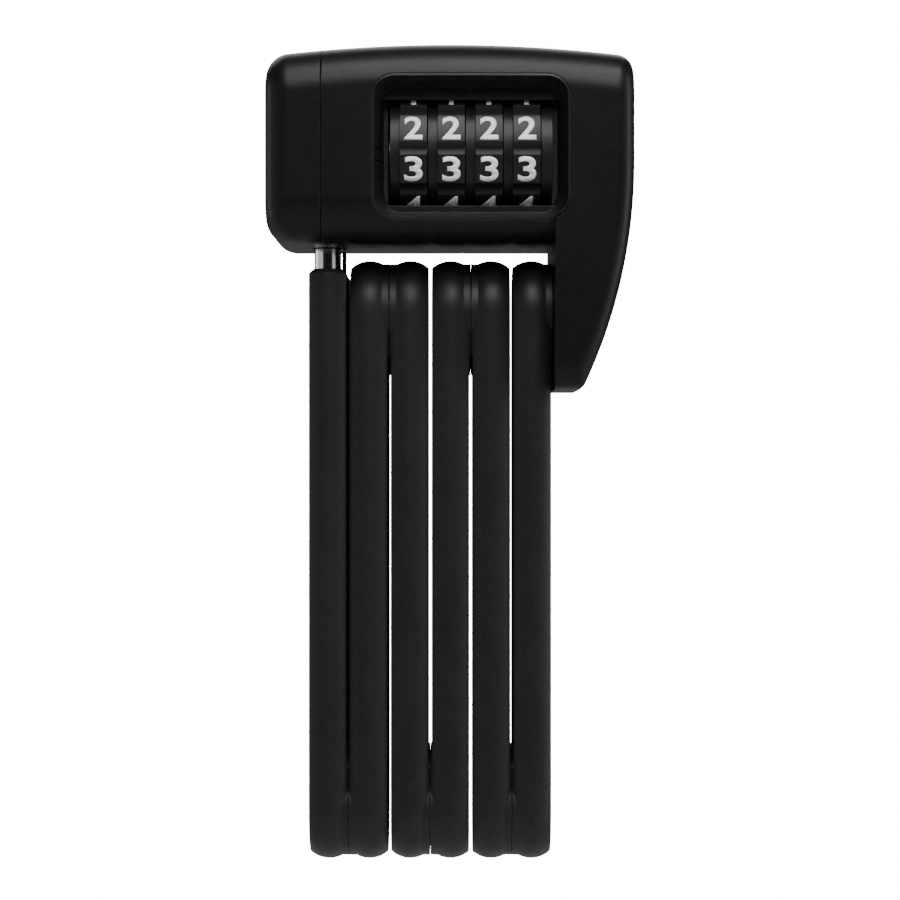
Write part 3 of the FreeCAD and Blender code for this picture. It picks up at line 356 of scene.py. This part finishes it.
def toned(sheet: NodeSheet, colour: bpy.types.NodeSocket,
          tone: bpy.types.NodeSocket) -> bpy.types.NodeSocket:
    """Multiplies a colour by a grey tone.

    Args:
        sheet: The node sheet.
        colour: The colour.
        tone: The tone, near 1.

    Returns:
        The toned colour.
    """
    node = sheet.add("ShaderNodeVectorMath", operation="SCALE")
    sheet.feed(node.inputs[0], colour)
    sheet.feed(node.inputs["Scale"], tone)
    return node.outputs["Vector"]


@dataclass(frozen=True)
class PlasticFinish:
    """A moulded plastic with its grain, its rubbed edges and its uneven gloss."""

    name: str
    colour: Colour
    rubbed: Colour
    gloss: tuple[float, float]
    specular: float = 0.25
    grain_scale: float = 6000.0
    grain_depth: float = 0.000005
    edge_radius: float = 0.0003
    wear: float = 0.5
    edge_polish: float = -0.12
    tone_range: float = 0.25

    def material(self, groups: GroupShelf) -> bpy.types.Material:
        """Builds the material.

        Args:
            groups: The shared shader groups.

        Returns:
            The finished material.
        """
        material, sheet, surface = start_material(self.name)
        grain = add_group(sheet, groups.grain, {"Scale": self.grain_scale})
        edges = add_group(sheet, groups.edges, {"Radius": self.edge_radius, "Amount": self.wear})
        handled = add_group(sheet, groups.handled, {"Low": self.gloss[0], "High": self.gloss[1],
                                                    "Tone Range": self.tone_range})
        colour = mix_colours(sheet, edges.outputs["Mask"], self.colour, self.rubbed)
        sheet.feed(surface.inputs["Base Color"], toned(sheet, colour, handled.outputs["Tone"]))
        polish = sheet.sum_up("MULTIPLY", edges.outputs["Mask"], self.edge_polish)
        sheet.feed(surface.inputs["Roughness"], sheet.sum_up("ADD", handled.outputs["Roughness"], polish))
        surface.inputs["Specular IOR Level"].default_value = self.specular
        bump = sheet.add("ShaderNodeBump", {"Strength": 1.0, "Distance": self.grain_depth,
                                            "Height": grain.outputs["Height"],
                                            "Normal": edges.outputs["Normal"]})
        sheet.feed(surface.inputs["Normal"], bump.outputs["Normal"])
        return material


@dataclass(frozen=True)
class MetalFinish:
    """A machined, ground or cast metal with its tool marks."""

    name: str
    colour: Colour
    stained: Colour
    gloss: tuple[float, float]
    lay: Lay
    mark_scale: float = 4000.0
    mark_depth: float = 0.000004
    edge_radius: float = 0.0002
    wear: float = 0.6
    tone_scale: float = 120.0
    tone_range: float = 0.08
    streak_dulling: float = 0.1

    def material(self, groups: GroupShelf) -> bpy.types.Material:
        """Builds the material.

        Args:
            groups: The shared shader groups.

        Returns:
            The finished material.
        """
        material, sheet, surface = start_material(self.name)
        surface.inputs["Metallic"].default_value = 1.0
        marks = add_group(sheet, groups.marks, {"Across": self.lay.value, "Scale": self.mark_scale})
        edges = add_group(sheet, groups.edges, {"Radius": self.edge_radius, "Amount": self.wear})
        handled = add_group(sheet, groups.handled, {"Scale": self.tone_scale, "Low": self.gloss[0],
                                                    "High": self.gloss[1], "Tone Range": self.tone_range})
        streak = sheet.spread(marks.outputs["Streak"], 0.0, 0.35, 0.35, 0.7)
        stained = mix_colours(sheet, streak, self.colour, self.stained)
        colour = mix_colours(sheet, edges.outputs["Mask"], stained, self.colour)
        sheet.feed(surface.inputs["Base Color"], toned(sheet, colour, handled.outputs["Tone"]))
        dulled = sheet.sum_up("MULTIPLY", streak, self.streak_dulling)
        sheet.feed(surface.inputs["Roughness"], sheet.sum_up("ADD", handled.outputs["Roughness"], dulled))
        bump = sheet.add("ShaderNodeBump", {"Strength": 1.0, "Distance": self.mark_depth,
                                            "Height": marks.outputs["Height"],
                                            "Normal": edges.outputs["Normal"]})
        sheet.feed(surface.inputs["Normal"], bump.outputs["Normal"])
        return material


@dataclass(frozen=True)
class PrintFinish:
    """The filled-in white paint of the figures."""

    name: str = "figure_white"
    colour: Colour = (0.86, 0.86, 0.84)
    thin: Colour = (0.55, 0.55, 0.54)
    gloss: tuple[float, float] = (0.45, 0.65)
    tone_scale: float = 500.0
    tone_range: float = 0.08
    speck_scale: float = 3200.0
    grain_scale: float = 5000.0
    grain_strength: float = 0.6
    grain_depth: float = 0.00001

    def material(self, groups: GroupShelf) -> bpy.types.Material:
        """Builds the material.

        Args:
            groups: The shared shader groups.

        Returns:
            The finished material.
        """
        material, sheet, surface = start_material(self.name)
        handled = add_group(sheet, groups.handled, {"Scale": self.tone_scale, "Low": self.gloss[0],
                                                    "High": self.gloss[1], "Tone Range": self.tone_range})
        specks = sheet.noise(sheet.place(), self.speck_scale, 3.0, 0.7)
        thin = sheet.spread(specks, 0.0, 0.5, 0.5, 0.72)
        colour = mix_colours(sheet, thin, self.colour, self.thin)
        sheet.feed(surface.inputs["Base Color"], toned(sheet, colour, handled.outputs["Tone"]))
        sheet.feed(surface.inputs["Roughness"], handled.outputs["Roughness"])
        grain = add_group(sheet, groups.grain, {"Scale": self.grain_scale})
        bump = sheet.add("ShaderNodeBump", {"Strength": self.grain_strength, "Distance": self.grain_depth,
                                            "Height": grain.outputs["Height"]})
        sheet.feed(surface.inputs["Normal"], bump.outputs["Normal"])
        return material


FINISHES: dict[str, PlasticFinish | MetalFinish] = {
    "black_cover": PlasticFinish("black_cover", (0.004, 0.004, 0.0042), (0.02, 0.02, 0.021), (0.36, 0.45),
                                 specular=0.16),
    "black_sleeve": PlasticFinish("black_sleeve", (0.008, 0.008, 0.0083), (0.03, 0.03, 0.031), (0.40, 0.52),
                                  grain_scale=5200.0),
    "black_lining": PlasticFinish("black_lining", (0.010, 0.010, 0.0103), (0.03, 0.03, 0.03), (0.30, 0.40),
                                  specular=0.2, grain_scale=7000.0, grain_depth=0.000002,
                                  edge_radius=0.00015),
    "dial_black": PlasticFinish("dial_black", (0.010, 0.010, 0.0103), (0.03, 0.03, 0.03), (0.34, 0.46),
                                specular=0.2, grain_scale=7000.0, grain_depth=0.000003,
                                edge_radius=0.00012),
    "bright_steel": MetalFinish("bright_steel", (0.80, 0.80, 0.82), (0.62, 0.62, 0.64), (0.10, 0.18),
                                Lay.RINGS_ROUND_Z, mark_depth=0.0000015),
    "plain_steel": MetalFinish("plain_steel", (0.50, 0.50, 0.52), (0.34, 0.34, 0.36), (0.28, 0.42),
                               Lay.GROUND_ALONG_Z),
    "dark_screw": MetalFinish("dark_screw", (0.07, 0.07, 0.075), (0.04, 0.04, 0.045), (0.32, 0.45),
                              Lay.RINGS_ROUND_X),
    "coated_zinc": PlasticFinish("coated_zinc", (0.014, 0.014, 0.0145), (0.10, 0.10, 0.105), (0.45, 0.60),
                                 grain_scale=1500.0, grain_depth=0.00001),
    "brass": MetalFinish("brass", (0.26, 0.21, 0.14), (0.16, 0.13, 0.09), (0.30, 0.42), Lay.RINGS_ROUND_X),
    "spring_steel": MetalFinish("spring_steel", (0.40, 0.40, 0.42), (0.26, 0.27, 0.32), (0.2, 0.3),
                                Lay.AS_CAST),
}


# ---------------------------------------------------------------- the lock


def dress(piece: bpy.types.Object, material: bpy.types.Material) -> None:
    """Gives every face of a piece one material."""
    piece.data.materials.clear()
    piece.data.materials.append(material)


@dataclass
class CadShell:
    """The CAD nodes, which keep their shapes and take their finishes from the record's slots."""

    nodes: dict[str, bpy.types.Object]
    subparts: Sequence[dict[str, Any]]

    def build(self, groups: GroupShelf) -> None:
        """Dresses every node.

        Args:
            groups: The shared shader groups.
        """
        made = {slot: finish.material(groups) for slot, finish in FINISHES.items()}
        for entry in self.subparts:
            piece = self.nodes[entry["node"]]
            dress(piece, made[entry["material_slot"]])
            LOG.info("dressed %s in %s", piece.name, entry["material_slot"])


@dataclass
class NumberPrint:
    """The ten figures printed round one number ring."""

    index: int
    height: float = 4.55 * MM
    width: float = 3.3 * MM
    boldness: float = 0.022
    proud: float = 0.04 * MM
    sunk: float = 0.05 * MM
    slices: int = 16
    outline_steps: int = 8
    figures: int = 10
    step: float = math.radians(36.0)
    first_angle: float = math.radians(90.0)

    def flat_figure(self, digit: int) -> bmesh.types.BMesh:
        """Draws one figure flat, centred, and sliced so that it can bend.

        Args:
            digit: The figure, 0 to 9.

        Returns:
            The flat mesh, in metres.
        """
        text = bpy.data.curves.new("figure_outline", "FONT")
        text.body = str(digit)
        text.size = 1.0
        text.offset = self.boldness
        text.resolution_u = self.outline_steps
        holder = bpy.data.objects.new("figure_outline", text)
        bpy.context.scene.collection.objects.link(holder)
        bpy.context.view_layer.update()
        drawn = holder.evaluated_get(bpy.context.evaluated_depsgraph_get())
        flat = bpy.data.meshes.new_from_object(drawn)
        sheet = bmesh.new()
        sheet.from_mesh(flat)
        bpy.data.objects.remove(holder)
        bpy.data.curves.remove(text)
        bpy.data.meshes.remove(flat)
        xs = [v.co.x for v in sheet.verts]
        ys = [v.co.y for v in sheet.verts]
        middle = Vector(((min(xs) + max(xs)) / 2, (min(ys) + max(ys)) / 2, 0.0))
        tall = max(ys) - min(ys)
        wide = max(xs) - min(xs)
        across = self.width / wide if digit != 1 else self.height / tall
        for vertex in sheet.verts:
            shifted = vertex.co - middle
            vertex.co = Vector((shifted.x * across, shifted.y * self.height / tall, 0.0))
        for cut in range(1, self.slices):
            level = self.height * (cut / self.slices - 0.5)
            bmesh.ops.bisect_plane(sheet, geom=sheet.verts[:] + sheet.edges[:] + sheet.faces[:],
                                   plane_co=(0, level, 0), plane_no=(0, 1, 0))
        return sheet

    def bent_figure(self, digit: int, centre: Vector, radius: float) -> bmesh.types.BMesh:
        """Bends one figure onto the ring and gives it its thickness.

        Args:
            digit: The figure, 0 to 9.
            centre: The middle of the ring.
            radius: The ring's outer radius.

        Returns:
            The bent mesh in the lock's place.
        """
        sheet = self.flat_figure(digit)
        middle = self.first_angle - self.step * digit
        raised = bmesh.ops.extrude_face_region(sheet, geom=sheet.faces[:])["geom"]
        top = {each for each in raised if isinstance(each, bmesh.types.BMVert)}
        for vertex in sheet.verts:
            reach = radius + (self.proud if vertex in top else -self.sunk)
            angle = middle + vertex.co.y / radius
            vertex.co = Vector((centre.x + vertex.co.x,
                                centre.y - reach * math.cos(angle),
                                centre.z + reach * math.sin(angle)))
        bmesh.ops.recalc_face_normals(sheet, faces=sheet.faces[:])
        return sheet

    def build(self, white: bpy.types.Material) -> bpy.types.Object:
        """Makes the ten figures as one piece that turns with its dial.

        Args:
            white: The figures' material.

        Returns:
            The new piece.
        """
        low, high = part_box(f"number_ring_{self.index}")
        centre = (low + high) / 2
        radius = (high.z - low.z) / 2
        mesh = bpy.data.meshes.new(f"dial_{self.index}_figures")
        whole = bmesh.new()
        for digit in range(self.figures):
            figure = self.bent_figure(digit, centre, radius)
            part = bpy.data.meshes.new("figure")
            figure.to_mesh(part)
            figure.free()
            whole.from_mesh(part)
            bpy.data.meshes.remove(part)
        whole.to_mesh(mesh)
        whole.free()
        piece = bpy.data.objects.new(mesh.name, mesh)
        bpy.context.scene.collection.objects.link(piece)
        dress(piece, white)
        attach(piece, f"dial_{self.index}")
        return piece


@dataclass
class DialBank:
    """The four number dials' printed figures."""

    count: int = 4

    def build(self, groups: GroupShelf) -> None:
        """Prints the figures on each dial.

        Args:
            groups: The shared shader groups.
        """
        white = PrintFinish().material(groups)
        for index in range(1, self.count + 1):
            piece = NumberPrint(index).build(white)
            LOG.info("printed %s", piece.name)


# ---------------------------------------------------------------- studio


@dataclass(frozen=True)
class SoftBox:
    """A rectangular studio light aimed at a point."""

    name: str
    place: tuple[float, float, float]
    aim: tuple[float, float, float]
    size: tuple[float, float]
    power: float

    def build(self) -> None:
        """Hangs the light."""
        lamp = bpy.data.lights.new(self.name, "AREA")
        lamp.shape = "RECTANGLE"
        lamp.size, lamp.size_y = self.size
        lamp.energy = self.power
        holder = bpy.data.objects.new(self.name, lamp)
        holder.location = self.place
        direction = Vector(self.aim) - Vector(self.place)
        holder.rotation_euler = direction.to_track_quat("-Z", "Y").to_euler()
        bpy.context.scene.collection.objects.link(holder)


@dataclass
class Studio:
    """The pale sweep, the soft boxes and the camera."""

    camera_place: tuple[float, float, float] = (0.0001, -0.400, 0.0761)
    lens: float = 85.6
    sensor: float = 36.0
    near_clip: float = 0.01
    half_width: float = 3.0
    front: float = -2.5
    bend_start: float = 1.6
    bend_radius: float = 0.8
    top: float = 3.0
    floor: float = -0.20
    bend_steps: int = 24
    paper_tone: Colour = (0.65, 0.65, 0.65)
    paper_roughness: float = 0.9
    paper_glow: float = 16.0
    ambient: float = 0.01
    boxes: tuple[SoftBox, ...] = (
        SoftBox("box_above", (0.08, -0.40, 0.95), (0.0, 0.0, 0.12), (0.6, 0.4), 9.0),
        SoftBox("box_front", (0.05, -0.75, 0.72), (0.0, 0.0, 0.12), (0.5, 0.3), 6.0),
        SoftBox("box_right", (0.80, -0.12, 0.25), (0.0, 0.0, 0.08), (0.3, 0.8), 3.5),
        SoftBox("screen_right", (0.85, -0.30, 0.20), (0.0, 0.0, 0.10), (1.0, 0.8), 1.6),
        SoftBox("screen_left", (-0.85, -0.30, 0.20), (0.0, 0.0, 0.10), (1.0, 0.8), 1.6),
        SoftBox("box_left", (-0.80, 0.28, 0.12), (0.0, 0.0, 0.10), (0.3, 0.6), 1.2),
        SoftBox("box_rear", (-0.10, 0.85, 0.75), (0.0, 0.0, 0.10), (0.9, 0.5), 4.5),
    )

    def sweep(self) -> bpy.types.Object:
        """Makes the seamless paper that is floor and backdrop in one.

        Returns:
            The paper.
        """
        profile = [(self.front, self.floor)]
        for step in range(self.bend_steps + 1):
            turn = math.pi / 2 * step / self.bend_steps
            profile.append((self.bend_start + self.bend_radius * math.sin(turn),
                            self.floor + self.bend_radius * (1 - math.cos(turn))))
        profile.append((self.bend_start + self.bend_radius, self.top))
        paper = bmesh.new()
        rows = [[paper.verts.new((side * self.half_width, y, z)) for side in (-1, 1)] for y, z in profile]
        for near, far in zip(rows, rows[1:]):
            paper.faces.new((near[0], near[1], far[1], far[0]))
        mesh = bpy.data.meshes.new("studio_paper")
        paper.to_mesh(mesh)
        paper.free()
        for face in mesh.polygons:
            face.use_smooth = True
        piece = bpy.data.objects.new("studio_paper", mesh)
        bpy.context.scene.collection.objects.link(piece)
        return piece

    def paper_material(self) -> bpy.types.Material:
        """The pale paper, which the camera sees as evenly lit.

        Returns:
            The material.
        """
        material, sheet, surface = start_material("studio_paper")
        surface.inputs["Base Color"].default_value = (*self.paper_tone, 1.0)
        surface.inputs["Roughness"].default_value = self.paper_roughness
        glow = sheet.add("ShaderNodeEmission", {"Strength": self.paper_glow})
        seen = sheet.add("ShaderNodeLightPath").outputs["Is Camera Ray"]
        both = sheet.add("ShaderNodeMixShader")
        sheet.feed(both.inputs[0], seen)
        sheet.feed(both.inputs[1], surface.outputs["BSDF"])
        sheet.feed(both.inputs[2], glow.outputs["Emission"])
        output = next(node for node in material.node_tree.nodes if node.type == "OUTPUT_MATERIAL")
        sheet.feed(output.inputs["Surface"], both.outputs["Shader"])
        return material

    def air(self) -> bpy.types.World:
        """Makes the ambient light, which the camera sees as more of the paper.

        Returns:
            The world.
        """
        world = bpy.data.worlds.new("studio_air")
        world.use_nodes = True
        sheet = NodeSheet(world.node_tree)
        sky = world.node_tree.nodes["Background"]
        sky.inputs["Color"].default_value = (1.0, 1.0, 1.0, 1.0)
        seen = sheet.add("ShaderNodeLightPath").outputs["Is Camera Ray"]
        sheet.feed(sky.inputs["Strength"], sheet.spread(seen, self.ambient, self.paper_glow))
        return world

    def build(self) -> None:
        """Sets up paper, lights, ambient light and camera."""
        paper = self.sweep()
        dress(paper, self.paper_material())
        for box in self.boxes:
            box.build()
        bpy.context.scene.world = self.air()
        camera = bpy.data.cameras.new("camera")
        camera.lens = self.lens
        camera.sensor_width = self.sensor
        camera.clip_start = self.near_clip
        holder = bpy.data.objects.new("camera", camera)
        holder.location = self.camera_place
        holder.rotation_euler = (math.pi / 2, 0.0, 0.0)
        bpy.context.scene.collection.objects.link(holder)
        bpy.context.scene.camera = holder


def main() -> None:
    """Builds the finishes, the figures and the studio."""
    logging.basicConfig(level=logging.INFO, format="%(name)s: %(message)s")
    groups = GroupShelf()
    CadShell(frame["nodes"], frame["record"]["subparts"]).build(groups)
    DialBank().build(groups)
    Studio().build()


if __name__ == "__main__":
    main()
